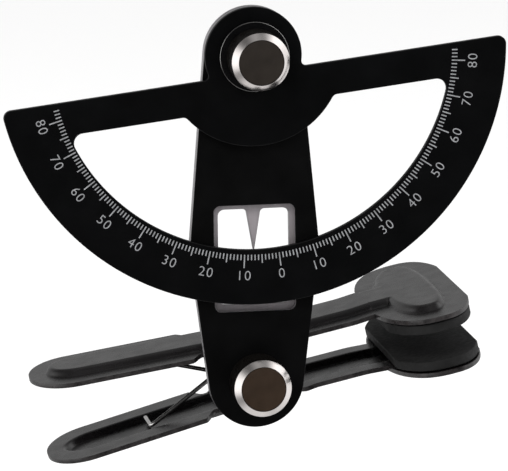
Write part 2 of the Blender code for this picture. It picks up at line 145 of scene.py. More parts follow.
PRESS_WALL = 1.4 * MM  # width of their sloping walls
RIB_END = -40.2 * MM
RIB_HALF = 7.0 * MM
PANEL_MIDDLE = 37.4 * MM
PANEL_BACK = 7.0 * MM
PANEL_FRONT = 4.6 * MM
PANEL_HALF = 21.6 * MM
PAD_FROM = 28.2 * MM
PAD_INSET = 0.5 * MM
PAD_THICK = 2.0 * MM
PAD_EDGE = 0.25 * MM
PAD_STATIONS = 60

# Pivots
PIN_R = 2.0 * MM
BORE_R = 2.1 * MM
BUSH_R = 3.3 * MM
WASHER_EDGE = 0.08 * MM
PIN_CHAMFER = 0.3 * MM
PIN_HEAD_THICK = 1.4 * MM
PIN_HEAD_CHAMFER = 0.4 * MM

# Arm, measured down from the dial's pivot
ARM_END_R = 9.7 * MM
ARM_WIDE_HALF = 13.2 * MM
ARM_WIDE_DROP = 39.5 * MM
ARM_WIDE_ROUND = 14 * MM
WINDOW_HALF = 8.25 * MM
WINDOW_TOP = -30.5 * MM
WINDOW_BOTTOM = -52.2 * MM
WINDOW_ROUND = 1.3 * MM
BAND_SIDE = 1.05 * MM
BAND_TOP = 1.0 * MM
BAND_BOTTOM = 1.25 * MM
POINTER_TIP = -39.8 * MM
POINTER_TIP_HALF = 0.12 * MM
POINTER_ROOT_HALF = 1.5 * MM
POINTER_ROOT_ROUND = 0.9 * MM
ARM_EDGE = 0.1 * MM

# Dial
DIAL_TILT = 6.7
RING_RISE = 1.05 * MM
RING_OUTER = 51.6 * MM
RING_INNER = 40.4 * MM
BAR_TOP = -3.6 * MM
BAR_BOTTOM = -10.3 * MM
DIAL_HEAD_R = 9.8 * MM
DIAL_HUB_R = 18.3 * MM
TICK_FROM = 40.36 * MM
TICK_ENDS = {1: 41.48 * MM, 5: 42.12 * MM, 10: 43.08 * MM}
TICK_WIDE = 0.24 * MM
TICK_LAST = 83
DIGIT_R = 44.6 * MM
DIGIT_TALL = 2.05 * MM
DIGIT_SHARE = 0.73  # a digit's height as a share of the font's size
DIGIT_SPACING = 1.16
DIGIT_SLIMMING = -0.025 * MM
PRINT_THICK = 0.03 * MM

# Knobs
KNOB_R = 5.8 * MM
KNOB_FACE_R = 4.6 * MM
KNOB_RIM = 7.35 * MM
KNOB_TALL = 8.4 * MM
KNURL_TEETH = 96
KNURL_DEEP = 0.1 * MM
KNURL_TOP = KNOB_RIM - 0.5 * MM
KNURL_FOOT = 0.9 * MM
KNOB_FOOT = 0.45 * MM  # height and depth of the chamfer at the knob's foot
KNOB_FOOT_DEEP = 0.4 * MM
CAP_R = 4.2 * MM
CAP_THICK = 0.8 * MM
CAP_EDGE_R = CAP_R + 0.24 * MM
CAP_EDGE = 0.06 * MM
CAP_LIP = (0.35 * MM, 0.25 * MM)  # where the low rim rises, measured in from the edge
CAP_DISH = 0.05 * MM

# Torsion spring
WIRE_R = 0.45 * MM
WIRE_SIDES = 12
COIL_R = 3.3 * MM
COIL_HALF = 4.3 * MM
COIL_EXTRA_TURNS = 5
LEG_REACH = 22 * MM
LEG_HEIGHT = 6.6 * MM
HOOK = 8.2 * MM

# Welding of finished meshes
WELD = 2e-7
THINNEST_EDGE = 1e-7
LATHE_WELD = 1e-8


# ---- placing pieces


def axis_frame(axis, level, turn=0.0):
    """Local X stays right, local Y goes up and local Z comes out of the dial's face."""
    stand = Matrix.Rotation(math.radians(90), 4, "X")
    swing = Matrix.Rotation(-math.radians(turn), 4, "Y")
    return Matrix.Translation((axis[0], 0, axis[1])) @ swing @ Matrix.Translation((0, level, 0)) @ stand


def node_frame(node):
    """The frame of a turned CAD node: its axis, from its back."""
    return axis_frame(axis_of(node), back_of(node))


def clip_frame():
    """Local X is s, local Y is the world's Y and local Z is t."""
    swing = Matrix.Rotation(-math.radians(CLIP_TILT), 4, "Y")
    return Matrix.Translation((PIN[0], 0, PIN[1])) @ swing


def piece(name, mesh, body, slot, matrix, *materials, replaces=(), tilted=False):
    """Adds a mesh made in its own axes. A tilted one is turned in its mesh, so its box stays tight."""
    obj = bpy.data.objects.new(name, mesh)
    bpy.context.scene.collection.objects.link(obj)
    if tilted:
        mesh.transform(matrix)
    else:
        obj.matrix_world = matrix
    for made in materials:
        mesh.materials.append(made)
    if body:
        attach(obj, body)
    if replaces:
        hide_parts(*replaces)
    return obj


def shade(obj, angle=35):
    """Smooth shading that keeps edges sharper than angle."""
    mesh = obj.data
    mesh.shade_smooth()
    mesh.set_sharp_from_angle(angle=math.radians(angle))
    normals = obj.modifiers.new("Weighted normals", "WEIGHTED_NORMAL")
    normals.keep_sharp = True
    return obj


# ---- outlines


def arc(centre, radius, start, end, steps):
    turns = [math.radians(start + (end - start) * i / steps) for i in range(steps + 1)]
    return [(centre[0] + radius * math.cos(a), centre[1] + radius * math.sin(a)) for a in turns]


def circle(radius, steps=96, centre=(0, 0)):
    return arc(centre, radius, 0, 360, steps)[:-1]


def rounded(corners, steps=12):
    """A closed outline of straight sides; each corner is (x, y, radius)."""
    points = []
    for i, (x, y, radius) in enumerate(corners):
        here = Vector((x, y))
        to_last = (Vector(corners[i - 1][:2]) - here).normalized()
        to_next = (Vector(corners[(i + 1) % len(corners)][:2]) - here).normalized()
        if radius == 0:
            points.append((x, y))
            continue
        half = to_last.angle(to_next) / 2
        centre = here + (to_last + to_next).normalized() * radius / math.sin(half)
        first = here + to_last * radius / math.tan(half) - centre
        last = here + to_next * radius / math.tan(half) - centre
        turn = first.angle_signed(last)
        for k in range(steps + 1):
            ray = first.copy()
            ray.rotate(Matrix.Rotation(-turn * k / steps, 2))
            points.append(tuple(centre + ray))
    return points


def tangent_angle(distance, radius):
    """Angle at a circle's centre between a point outside it and where its tangent touches."""
    return math.degrees(math.acos(radius / distance))


def tangent_lean(drop):
    """How steeply the straight side leaves one of the arm's round ends for its widest place."""
    to_wide = math.degrees(math.atan2(drop, ARM_WIDE_HALF))
    return to_wide - tangent_angle(math.hypot(ARM_WIDE_HALF, drop), ARM_END_R)


def arm_outline():
    top_from = -tangent_lean(ARM_WIDE_DROP)
    low_from = tangent_lean(ARM_LENGTH - ARM_WIDE_DROP)
    corners = [(x, y, 0) for x, y in arc((0, 0), ARM_END_R, top_from, 180 - top_from, 64)]
    corners.append((-ARM_WIDE_HALF, -ARM_WIDE_DROP, ARM_WIDE_ROUND))
    corners += [(x, y, 0) for x, y in arc((0, -ARM_LENGTH), ARM_END_R, 180 - low_from, 360 + low_from, 64)]
    corners.append((ARM_WIDE_HALF, -ARM_WIDE_DROP, ARM_WIDE_ROUND))
    return rounded(corners)


def window_outline():
    half, top, bottom, r = WINDOW_HALF, WINDOW_TOP, WINDOW_BOTTOM, WINDOW_ROUND
    return rounded([(-half, top, r), (-half, bottom, r), (half, bottom, r), (half, top, r)])


def pointer_window_outline():
    half = WINDOW_HALF - BAND_SIDE
    top = WINDOW_TOP - BAND_TOP
    bottom = WINDOW_BOTTOM + BAND_BOTTOM
    r = WINDOW_ROUND
    return rounded([
        (-half, top, r),
        (-half, bottom, r),
        (half, bottom, r),
        (half, top, r),
        (POINTER_ROOT_HALF, top, POINTER_ROOT_ROUND),
        (POINTER_TIP_HALF, POINTER_TIP, 0),
        (-POINTER_TIP_HALF, POINTER_TIP, 0),
        (-POINTER_ROOT_HALF, top, POINTER_ROOT_ROUND),
    ])


def fillet_centre(centre_y, radius, line_y, fillet, outside_circle, above_line):
    """Centre of the fillet between a circle on the middle line and a level line, on the right."""
    y = line_y + (fillet if above_line else -fillet)
    reach = radius + (fillet if outside_circle else -fillet)
    return math.sqrt(reach**2 - (y - centre_y) ** 2), y


def spoke(centre, point):
    """Angle of the line from centre to point."""
    return math.degrees(math.atan2(point[1] - centre[1], point[0] - centre[0]))


def mirrored(points):
    """A closed outline from its right half."""
    return points + [(-x, y) for x, y in reversed(points)]


def dial_outline():
    head_fillet = 1.0 * MM
    tip_fillet = 1.6 * MM
    ring = (0, RING_RISE)
    head = fillet_centre(0, DIAL_HEAD_R, BAR_TOP, head_fillet, True, True)
    tip = fillet_centre(RING_RISE, RING_OUTER, BAR_TOP, tip_fillet, False, False)
    right = arc((0, 0), DIAL_HEAD_R, 90, spoke((0, 0), head), 40)
    right += arc(head, head_fillet, 180 + spoke((0, 0), head), 270, 10)
    right += arc(tip, tip_fillet, 90, spoke(ring, tip), 12)
    right += arc(ring, RING_OUTER, spoke(ring, tip), -90, 120)
    return mirrored(right[1:-1])


def dial_void_outline():
    hub_fillet = 1.2 * MM
    tip_fillet = 2.0 * MM
    ring = (0, RING_RISE)
    hub = fillet_centre(0, DIAL_HUB_R, BAR_BOTTOM, hub_fillet, True, False)
    tip = fillet_centre(RING_RISE, RING_INNER, BAR_BOTTOM, tip_fillet, False, False)
    right = arc((0, 0), DIAL_HUB_R, -90, spoke((0, 0), hub), 32)
    right += arc(hub, hub_fillet, 180 + spoke((0, 0), hub), 90, 10)
    right += arc(tip, tip_fillet, 90, spoke(ring, tip), 12)
    right += arc(ring, RING_INNER, spoke(ring, tip), -90, 100)
    return mirrored(right[1:-1])


# ---- meshes


def mesh_of(data, name):
    """The finished mesh of a curve or text, welded and with its faces outward."""
    made = bpy.data.objects.new(name, data)
    bpy.context.scene.collection.objects.link(made)
    mesh = bpy.data.meshes.new_from_object(made.evaluated_get(bpy.context.evaluated_depsgraph_get()))
    bpy.data.objects.remove(made, do_unlink=True)
    mesh.name = name
    tidy = bmesh.new()
    tidy.from_mesh(mesh)
    bmesh.ops.remove_doubles(tidy, verts=tidy.verts, dist=WELD)
    bmesh.ops.dissolve_degenerate(tidy, edges=tidy.edges, dist=THINNEST_EDGE)
    bmesh.ops.recalc_face_normals(tidy, faces=tidy.faces)
    tidy.to_mesh(mesh)
    tidy.free()
    mesh.materials.clear()
    return mesh


def plate_mesh(name, outlines, thickness, edge=0.12 * MM):
    """A flat sheet with its back at local Z 0 and small rounded edges."""
    curve = bpy.data.curves.new(name, "CURVE")
    curve.dimensions = "2D"
    curve.fill_mode = "BOTH"
    curve.extrude = thickness / 2 - edge
    curve.bevel_depth = edge
    curve.offset = -edge
    curve.bevel_resolution = 2
    for outline in outlines:
        spline = curve.splines.new("POLY")
        spline.points.add(len(outline) - 1)
        spline.use_cyclic_u = True
        for point, (x, y) in zip(spline.points, outline):
            point.co = (x, y, 0, 1)
    mesh = mesh_of(curve, name)
    mesh.transform(Matrix.Translation((0, 0, thickness / 2)))
    return mesh


def lathe_mesh(name, profile, steps, ripple=None, band_material=None):
    """A solid turned about local Z from a closed section of (radius, height).

    ripple(k, i) moves point i of the section inwards at step k, and band_material(i) picks the
    material of the band that follows point i.
    """
    shape = bmesh.new()
    rings = []
    for k in range(steps):
        a = 2 * math.pi * k / steps
        ring = []
        for i, (r, z) in enumerate(profile):
            reach = r - (ripple(k, i) if ripple else 0)
            ring.append(shape.verts.new((reach * math.cos(a), reach * math.sin(a), z)))
        rings.append(ring)
    for k in range(steps):
        here, after = rings[k], rings[(k + 1) % steps]
        for i in range(len(profile)):
            j = (i + 1) % len(profile)
            face = shape.faces.new((here[i], after[i], after[j], here[j]))
            face.material_index = band_material(i) if band_material else 0
    bmesh.ops.remove_doubles(shape, verts=shape.verts, dist=LATHE_WELD)
    bmesh.ops.recalc_face_normals(shape, faces=shape.faces)
    mesh = bpy.data.meshes.new(name)
    shape.to_mesh(mesh)
    shape.free()
    return mesh


def ring_section(inner, outer, thickness):
    return [(inner, thickness), (outer, thickness), (outer, 0), (inner, 0)]


def tube_mesh(name, points, radius):
    curve = bpy.data.curves.new(name, "CURVE")
    curve.dimensions = "3D"
    curve.bevel_depth = radius
    curve.bevel_resolution = WIRE_SIDES // 2 - 2
    curve.use_fill_caps = True
    spline = curve.splines.new("POLY")
    spline.points.add(len(points) - 1)
    for point, place_at in zip(spline.points, points):
        point.co = (*place_at, 1)
    return mesh_of(curve, name)


def smooth(value, low, high):
    """0 up to low, 1 from high on, and an even curve between them."""
    x = min(max((value - low) / (high - low), 0.0), 1.0)
    return x * x * (3 - 2 * x)


# ---- materials


NOISE_ROUGHNESS = 0.55
NOISE_LOW = 0.3  # nearly all of a noise texture lies between these two
NOISE_HIGH = 0.7


class Finish:
    """A Principled material whose colour, roughness and bump follow procedural textures."""

    def __init__(self, name, colour, roughness, metallic=0.0, specular=0.5):
        self.made = bpy.data.materials.new(name)
        self.made.use_nodes = True
        self.tree = self.made.node_tree
        self.shader = self.tree.nodes["Principled BSDF"]
        self.shader.inputs["Base Color"].default_value = (*colour, 1)
        self.shader.inputs["Roughness"].default_value = roughness
        self.shader.inputs["Metallic"].default_value = metallic
        self.shader.inputs["Specular IOR Level"].default_value = specular
        self.colour = colour
        self.roughness = roughness
        self.bump = None

    def node(self, kind, **values):
        made = self.tree.nodes.new(kind)
        for key, value in values.items():
            setattr(made, key, value)
        return made

    def link(self, start, end):
        self.tree.links.new(start, end)

    def place(self, stretch=(1, 1, 1)):
        """Object coordinates, stretched."""
        where = self.node("ShaderNodeTexCoord")
        mapping = self.node("ShaderNodeMapping")
        mapping.inputs["Scale"].default_value = stretch
        self.link(where.outputs["Object"], mapping.inputs["Vector"])
        return mapping.outputs["Vector"]

    def noise(self, scale, detail=4.0, stretch=(1, 1, 1)):
        made = self.node("ShaderNodeTexNoise")
        made.inputs["Scale"].default_value = scale
        made.inputs["Detail"].default_value = detail
        made.inputs["Roughness"].default_value = NOISE_ROUGHNESS
        self.link(self.place(stretch), made.inputs["Vector"])
        return made.outputs["Fac"]

    def ramp(self, value, stops):
        made = self.node("ShaderNodeValToRGB")
        elements = made.color_ramp.elements
        while len(elements) < len(stops):
            elements.new(0.5)
        for element, (position, colour) in zip(elements, stops):
            element.position = position
            element.color = (*colour, 1)
        self.link(value, made.inputs["Fac"])
        return made.outputs["Color"]

    def spread(self, value, low, high):
        """A noise stretched out between low and high."""
        made = self.node("ShaderNodeMapRange")
        made.inputs["From Min"].default_value = NOISE_LOW
        made.inputs["From Max"].default_value = NOISE_HIGH
        made.inputs["To Min"].default_value = low
        made.inputs["To Max"].default_value = high
        self.link(value, made.inputs["Value"])
        return made.outputs["Result"]

    def mix(self, factor, first, second):
        """Two colours mixed; each value is a socket or a number or a colour."""
        made = self.node("ShaderNodeMix", data_type="RGBA")
        sockets = (made.inputs["Factor"], *made.inputs[6:8])
        for socket, value in zip(sockets, (factor, first, second)):
            if isinstance(value, bpy.types.NodeSocket):
                self.link(value, socket)
            elif isinstance(value, (int, float)):
                socket.default_value = value
            else:
                socket.default_value = (*value, 1)
        return made.outputs[2]

    def mottle(self, scale, amount):
        """Colour that drifts lighter and darker by amount over patches."""
        light = tuple(min(c * (1 + amount), 1) for c in self.colour)
        dark = tuple(c * (1 - amount) for c in self.colour)
        return self.ramp(self.noise(scale), [(NOISE_LOW, dark), (NOISE_HIGH, light)])

    def colour_from(self, socket):
        self.link(socket, self.shader.inputs["Base Color"])

    def roughness_from(self, value, swing):
        self.link(
            self.spread(value, self.roughness - swing, self.roughness + swing),
            self.shader.inputs["Roughness"],
        )

    def relief(self, height, depth, strength=1.0):
        """Adds one layer of bump, depth metres deep."""
        made = self.node("ShaderNodeBump")
        made.inputs["Strength"].default_value = strength
        made.inputs["Distance"].default_value = depth
        self.link(height, made.inputs["Height"])
        if self.bump:
            self.link(self.bump, made.inputs["Normal"])
        self.bump = made.outputs["Normal"]
        self.link(self.bump, self.shader.inputs["Normal"])

    def worn_edges(self, base, worn_highlight_colour, low, high, amount):
        """Shows a lighter colour along sharp outer edges, broken up by noise: partly rubbed wear, partly a
        painted edge highlight.
        """
        where = self.node("ShaderNodeNewGeometry")
        edge = self.node("ShaderNodeMapRange")
        edge.inputs["From Min"].default_value = low
        edge.inputs["From Max"].default_value = high
        self.link(where.outputs["Pointiness"], edge.inputs["Value"])
        patchy = self.node("ShaderNodeMath", operation="MULTIPLY")
        self.link(edge.outputs["Result"], patchy.inputs[0])
        self.link(self.spread(self.noise(700), 0, amount), patchy.inputs[1])
        return self.mix(patchy.outputs["Value"], base, worn_highlight_colour)


def black_anodised():
    finish = Finish("black_anodised", (0.0018, 0.0019, 0.0021), 0.4, 0.0, 0.1)
    finish.colour_from(finish.mottle(120, 0.25))
    finish.roughness_from(finish.noise(260, 6), 0.05)
    finish.relief(finish.noise(9000, 2), 0.004 * MM, 0.5)
    return finish.made


def cover_black():
    finish = Finish("cover_black", (0.002, 0.002, 0.0021), 0.4, 0.0, 0.1)
    finish.colour_from(finish.mottle(120, 0.25))
    finish.roughness_from(finish.noise(240, 6), 0.05)
    finish.relief(finish.noise(9000, 2), 0.004 * MM, 0.5)
    return finish.made


def black_edge():
    """The same coating along a plate's edges, rubbed a little thin in places."""
    finish = Finish("black_edge", (0.006, 0.006, 0.0065), 0.4, 0.0, 0.2)
    rubbed = finish.spread(finish.noise(500, 5), 0.0, 0.5)
    finish.colour_from(finish.mix(rubbed, (0.003, 0.003, 0.0033), (0.014, 0.014, 0.0145)))
    finish.roughness_from(finish.noise(300, 5), 0.06)
    finish.relief(finish.noise(6000, 2), 0.004 * MM, 0.5)
    return finish.made


def bare_edge():
    finish = Finish("bare_cut_edge", (0.42, 0.41, 0.42), 0.38, 0.9, 0.5)
    finish.colour_from(finish.mottle(500, 0.15))
    finish.relief(finish.noise(2500, 3, (1, 1, 8)), 0.01 * MM, 0.5)
    return finish.made


def pointer_grey():
    finish = Finish("brushed_grey", (0.19, 0.172, 0.182), 0.4, 0.0, 0.4)
    brushed = finish.noise(1500, 4, (1, 0.06, 1))
    patches = finish.mottle(200, 0.1)
    streaks = finish.ramp(
        brushed,
        [(NOISE_LOW, (0.152, 0.142, 0.148)), (NOISE_HIGH, (0.228, 0.212, 0.222))],
    )
    finish.colour_from(finish.mix(0.5, patches, streaks))
    finish.roughness_from(brushed, 0.08)
    finish.relief(brushed, 0.01 * MM, 0.4)
    return finish.made


def printed_white():
    finish = Finish("printed_scale", (0.2, 0.203, 0.21), 0.6, 0.0, 0.3)
    finish.colour_from(finish.mottle(900, 0.22))
    finish.roughness_from(finish.noise(1500), 0.08)
    finish.relief(finish.noise(5000, 2), 0.006 * MM, 0.5)
    return finish.made


def knurled_black():
    finish = Finish("knob_black", (0.004, 0.0034, 0.003), 0.3, 0.0, 0.3)
    finish.colour_from(finish.mottle(300, 0.3))
    finish.roughness_from(finish.noise(600), 0.08)
    finish.relief(finish.noise(6000, 3), 0.006 * MM, 0.5)
    return finish.made


def washer_black():
    finish = Finish("washer_black", (0.0025, 0.0025, 0.0028), 0.3, 0.0, 0.3)
    finish.colour_from(finish.mottle(300, 0.3))
    finish.roughness_from(finish.noise(500), 0.06)
    finish.relief(finish.noise(6000, 3), 0.004 * MM, 0.5)
    return finish.made


def turned_bright():
    """Turned metal with fine rings, mirroring more round the axis than across it."""
    finish = Finish("turned_bright", (0.86, 0.81, 0.79), 0.2, 1.0, 0.5)
    finish.shader.inputs["Anisotropic"].default_value = 0.6
    tangent = finish.node("ShaderNodeTangent", direction_type="RADIAL", axis="Z")
    finish.link(tangent.outputs["Tangent"], finish.shader.inputs["Tangent"])
    rings = finish.node("ShaderNodeTexWave", wave_type="RINGS", rings_direction="Z")
    rings.inputs["Scale"].default_value = 2600
    rings.inputs["Distortion"].default_value = 1.2
    rings.inputs["Detail"].default_value = 2
    finish.link(finish.place(), rings.inputs["Vector"])
    patches = finish.mottle(300, 0.08)
    grooves = finish.ramp(rings.outputs["Fac"], [(0.2, (0.7, 0.66, 0.64)), (0.8, (0.92, 0.87, 0.85))])
    finish.colour_from(finish.mix(0.25, patches, grooves))
    finish.roughness_from(finish.noise(700), 0.04)
    finish.relief(rings.outputs["Fac"], 0.003 * MM, 0.35)
    return finish.made


def steel(name="bright_steel", colour=(0.6, 0.59, 0.58), roughness=0.28):
    finish = Finish(name, colour, roughness, 1.0, 0.5)
    finish.colour_from(finish.mottle(400, 0.12))
    finish.roughness_from(finish.noise(900, 5), 0.07)
    finish.relief(finish.noise(3000, 3, (1, 1, 6)), 0.006 * MM, 0.4)
    return finish.made


def cap_dark(name, colour):
    finish = Finish(name, colour, 0.45, 0.0, 0.2)
    finish.colour_from(finish.mottle(350, 0.14))
    finish.roughness_from(finish.noise(800), 0.06)
    finish.relief(finish.noise(7000, 2), 0.004 * MM, 0.5)
    return finish.made


def clip_black():
    """Glossy black nickel on pressed steel, so its tops mirror what stands behind them."""
    finish = Finish("clip_black_nickel", (0.007, 0.0062, 0.0066), 0.27, 0.0, 0.45)
    base = finish.mottle(130, 0.2)
    # the lighter colour on the leaves' sharp edges is partly wear and partly a painted edge highlight
    finish.colour_from(finish.worn_edges(base, (0.05, 0.045, 0.045), 0.54, 0.64, 0.5))
    finish.roughness_from(finish.noise(300, 6), 0.04)
    finish.relief(finish.noise(4000, 3), 0.003 * MM, 0.4)
    finish.relief(finish.noise(90, 2), 0.04 * MM, 0.1)
    return finish.made


def rubber_black():
    finish = Finish("pad_rubber", (0.008, 0.008, 0.008), 0.7, 0.0, 0.3)
    finish.colour_from(finish.mottle(400, 0.3))
    finish.roughness_from(finish.noise(1200, 5), 0.12)
    finish.relief(finish.noise(5000, 4), 0.02 * MM, 0.6)
    return finish.made


def nylon_grey():
    finish = Finish("friction_nylon", (0.05, 0.05, 0.05), 0.5, 0.0, 0.4)
    finish.colour_from(finish.mottle(500, 0.15))
    finish.roughness_from(finish.noise(900), 0.08)
    finish.relief(finish.noise(5000, 3), 0.005 * MM, 0.5)
    return finish.made


BLACK = black_anodised()
COVER = cover_black()
BLACK_EDGE = black_edge()
EDGE = bare_edge()
POINTER = pointer_grey()
PRINT = printed_white()
KNURL = knurled_black()
WASHER = washer_black()
TURNED = turned_bright()
STEEL = steel()
WIRE = steel("spring_wire", (0.66, 0.65, 0.64), 0.22)
CAPS = {
    "upper": cap_dark("cap_grey_brown", (0.0165, 0.013, 0.0103)),
    "lower": cap_dark("cap_brown", (0.023, 0.0136, 0.0078)),
}
CLIP = clip_black()
RUBBER = rubber_black()
NYLON = nylon_grey()


# ---- dial


def paint(mesh, chosen, index):
    """Gives the faces for which chosen(face) holds another of the mesh's materials."""
    for face in mesh.polygons:
        if chosen(face):
            face.material_index = index


WALL_LEAN = 0.15  # faces whose normal has less local Z than this are walls
FLAT_LEAN = 0.97  # and those with more than this are flat


def eased_edge(face):
    return WALL_LEAN < abs(face.normal.z) < FLAT_LEAN


def wall(face):
    return abs(face.normal.z) < WALL_LEAN


def dial():
    node = "protractor_plate"
    outlines = [dial_outline(), dial_void_outline(), circle(BUSH_R + GAP)]
    mesh = plate_mesh("dial_plate", outlines, thickness_of(node))
    paint(mesh, eased_edge, 1)
    matrix = axis_frame(TOP, back_of(node), DIAL_TILT)
    obj = piece(
        "dial_plate", mesh, "protractor", "plate_black", matrix, BLACK, BLACK_EDGE,
        replaces=[node], tilted=True,
    )
    shade(obj)


def tick(shape, angle, outer):
    """One printed line as a thin raised bar."""
    a = math.radians(angle)
    out = Vector((math.sin(a), -math.cos(a)))
    side = Vector((math.cos(a), math.sin(a))) * TICK_WIDE / 2
    corners = [out * TICK_FROM - side, out * TICK_FROM + side, out * outer + side, out * outer - side]
    low = [shape.verts.new((*c, 0)) for c in corners]
    high = [shape.verts.new((*c, PRINT_THICK)) for c in corners]
    shape.faces.new(high)
    shape.faces.new(low[::-1])
    for i in range(4):
        j = (i + 1) % 4
        shape.faces.new((low[i], low[j], high[j], high[i]))


def dial_ticks(matrix):
    shape = bmesh.new()
    for degree in range(-TICK_LAST, TICK_LAST + 1):
        step = 10 if degree % 10 == 0 else 5 if degree % 5 == 0 else 1
        tick(shape, degree, TICK_ENDS[step])
    mesh = bpy.data.meshes.new("dial_ticks")
    shape.to_mesh(mesh)
    shape.free()
    piece("dial_ticks", mesh, "protractor", "plate_black", matrix, PRINT, tilted=True)


def dial_digits(matrix):
    """The numbers, each turned to stand on its own radius."""
    for degree in range(-80, 81, 10):
        text = bpy.data.curves.new(f"digits_{degree}", "FONT")
        text.body = str(abs(degree))
        text.size = DIGIT_TALL / DIGIT_SHARE
        text.space_character = DIGIT_SPACING
        text.offset = DIGIT_SLIMMING
        text.align_x = "CENTER"
        text.align_y = "CENTER"
        text.extrude = PRINT_THICK / 2
        text.resolution_u = 6
        side = "left" if degree < 0 else "right" if degree > 0 else "middle"
        name = f"digits_{abs(degree)}_{side}"
        mesh = mesh_of(text, name)
        low = min(v.co.y for v in mesh.vertices)
        high = max(v.co.y for v in mesh.vertices)
        a = math.radians(degree)
        spot = Matrix.Translation((DIGIT_R * math.sin(a), -DIGIT_R * math.cos(a), PRINT_THICK / 2))
        centred = Matrix.Translation((0, -(low + high) / 2, 0))
        mesh.transform(spot @ Matrix.Rotation(a, 4, "Z") @ centred)
        piece(name, mesh, "protractor", "plate_black", matrix, PRINT, tilted=True)


def dial_print():
    matrix = axis_frame(TOP, front_of("protractor_plate"), DIAL_TILT)
    dial_ticks(matrix)
    dial_digits(matrix)


# ---- arm


def arm():
    pivots = [circle(BUSH_R + GAP, centre=(0, -ARM_LENGTH)), circle(BORE_R, 64)]
    for name, node, window, slot, face, rim in (
        ("arm_cover", "arm_cover_plate", window_outline(), "plate_black", COVER, BLACK_EDGE),
        ("arm_pointer", "pointer_plate", pointer_window_outline(), "pointer_grey", POINTER, EDGE),
    ):
        mesh = plate_mesh(name, [arm_outline(), window, *pivots], thickness_of(node), ARM_EDGE)
        matrix = axis_frame(TOP, back_of(node))
        paint(mesh, wall, 1)
        paint(mesh, eased_edge, 2)
        shade(piece(name, mesh, "arm", slot, matrix, face, EDGE, rim, replaces=[node]))


def turned_piece(name, node, section, body, slot, materials):
    """A turned part at a CAD node's place, with its corners eased and painted the last material."""
    profile = rounded([(r, z, WASHER_EDGE) for r, z in section], 3)
    mesh = lathe_mesh(name, profile, 96)
    paint(mesh, eased_edge, len(materials) - 1)
    shade(piece(name, mesh, body, slot, node_frame(node), *materials, replaces=[node]))


def washers():
    for name, node, outer, body, slot, materials in (
        ("arm_washer", "upper_washer", 7.0 * MM, "arm", "knob_metal", (WASHER, STEEL)),
        ("arm_friction_ring", "upper_friction_disc", 6.2 * MM, "arm", "friction_nylon", (NYLON,)),
        ("arm_rear_washer", "rear_washer", 5.0 * MM, "arm", "bright_steel", (STEEL,)),
        ("clip_friction_ring", "lower_friction_disc", 5.4 * MM, "clip_base", "friction_nylon", (NYLON,)),
        ("clip_spacer", "spacer_sleeve", BUSH_R, "clip_base", "bright_steel", (STEEL,)),
    ):
        section = ring_section(BORE_R, outer, thickness_of(node))
        turned_piece(name, node, section, body, slot, materials)


def pins():
    for name, node, head_r, body in (
        ("clip_pin_bar", "clip_pin", 3.6 * MM, "clip_base"),
        ("arm_stud", "pivot_stud", 4.0 * MM, "arm"),
    ):
        long = thickness_of(node)
        section = [
            (0, long),
            (PIN_R - PIN_CHAMFER, long),
            (PIN_R, long - PIN_CHAMFER),
            (PIN_R, PIN_HEAD_THICK),
            (head_r, PIN_HEAD_THICK),
            (head_r, PIN_HEAD_CHAMFER),
            (head_r - PIN_HEAD_CHAMFER, 0),
            (0, 0),
        ]
        mesh = lathe_mesh(name, section, 64)
        shade(piece(name, mesh, body, "bright_steel", node_frame(node), STEEL, replaces=[node]))


def knob_section():
    """The thumb nut's section: face, chamfer, side and bore, with the seat of its cap."""
    seat_r = CAP_R + GAP
    floor = KNOB_TALL - CAP_THICK - GAP
    seat_out, seat_down = 0.05 * MM, 0.08 * MM
    face_in, face_out, face_down = 0.03 * MM, 0.05 * MM, 0.07 * MM
    rim_in, rim_up, rim_down = 0.06 * MM, 0.07 * MM, 0.05 * MM
    return [
        (seat_r, KNOB_TALL - seat_down),
        (seat_r + seat_out, KNOB_TALL),
        (KNOB_FACE_R - face_in, KNOB_TALL),
        (KNOB_FACE_R + face_out, KNOB_TALL - face_down),
        (KNOB_R - rim_in, KNOB_RIM + rim_up),
        (KNOB_R, KNOB_RIM - rim_down),
        (KNOB_R, KNURL_TOP),
        (KNOB_R, KNURL_FOOT),
        (KNOB_R, KNOB_FOOT),
        (KNOB_R - KNOB_FOOT_DEEP, 0),
        (BORE_R, 0),
        (BORE_R, floor),
        (seat_r, floor),
    ]


BRIGHT_BANDS = range(0, 5)  # bands of that section from the seat to the rim
KNURLED_POINTS = (6, 7)  # and the points of it that carry the teeth


def knob_body(prefix):
    """A black knurled side and a bright turned chamfer."""

    def ripple(k, i):
        return KNURL_DEEP * (k % 2) if i in KNURLED_POINTS else 0

    def band_material(i):
        return 1 if i in BRIGHT_BANDS else 0

    name = f"{prefix}_knob"
    node = f"{prefix}_knob_body"
    mesh = lathe_mesh(name, knob_section(), 2 * KNURL_TEETH, ripple, band_material)
    shade(piece(name, mesh, name, "knob_metal", node_frame(node), KNURL, TURNED, replaces=[node]), 25)


def knob_cap(prefix):
    """A dark disc, dished inside a low rim."""
    node = f"{prefix}_knob_cap"
    section = [
        (0, CAP_THICK - CAP_DISH),
        (CAP_R * 0.5, CAP_THICK - CAP_DISH * 0.9),
        (CAP_EDGE_R - CAP_LIP[0], CAP_THICK - CAP_DISH * 0.5),
        (CAP_EDGE_R - CAP_LIP[1], CAP_THICK),
        (CAP_EDGE_R - CAP_EDGE, CAP_THICK),
        (CAP_EDGE_R, CAP_THICK - CAP_EDGE),
        (CAP_EDGE_R, 0),
        (0, 0),
    ]
    name = f"{prefix}_cap"
    mesh = lathe_mesh(name, section, 96)
    obj = piece(name, mesh, f"{prefix}_knob", "knob_cap", node_frame(node), CAPS[prefix], replaces=[node])
    shade(obj, 25)


# ---- clip


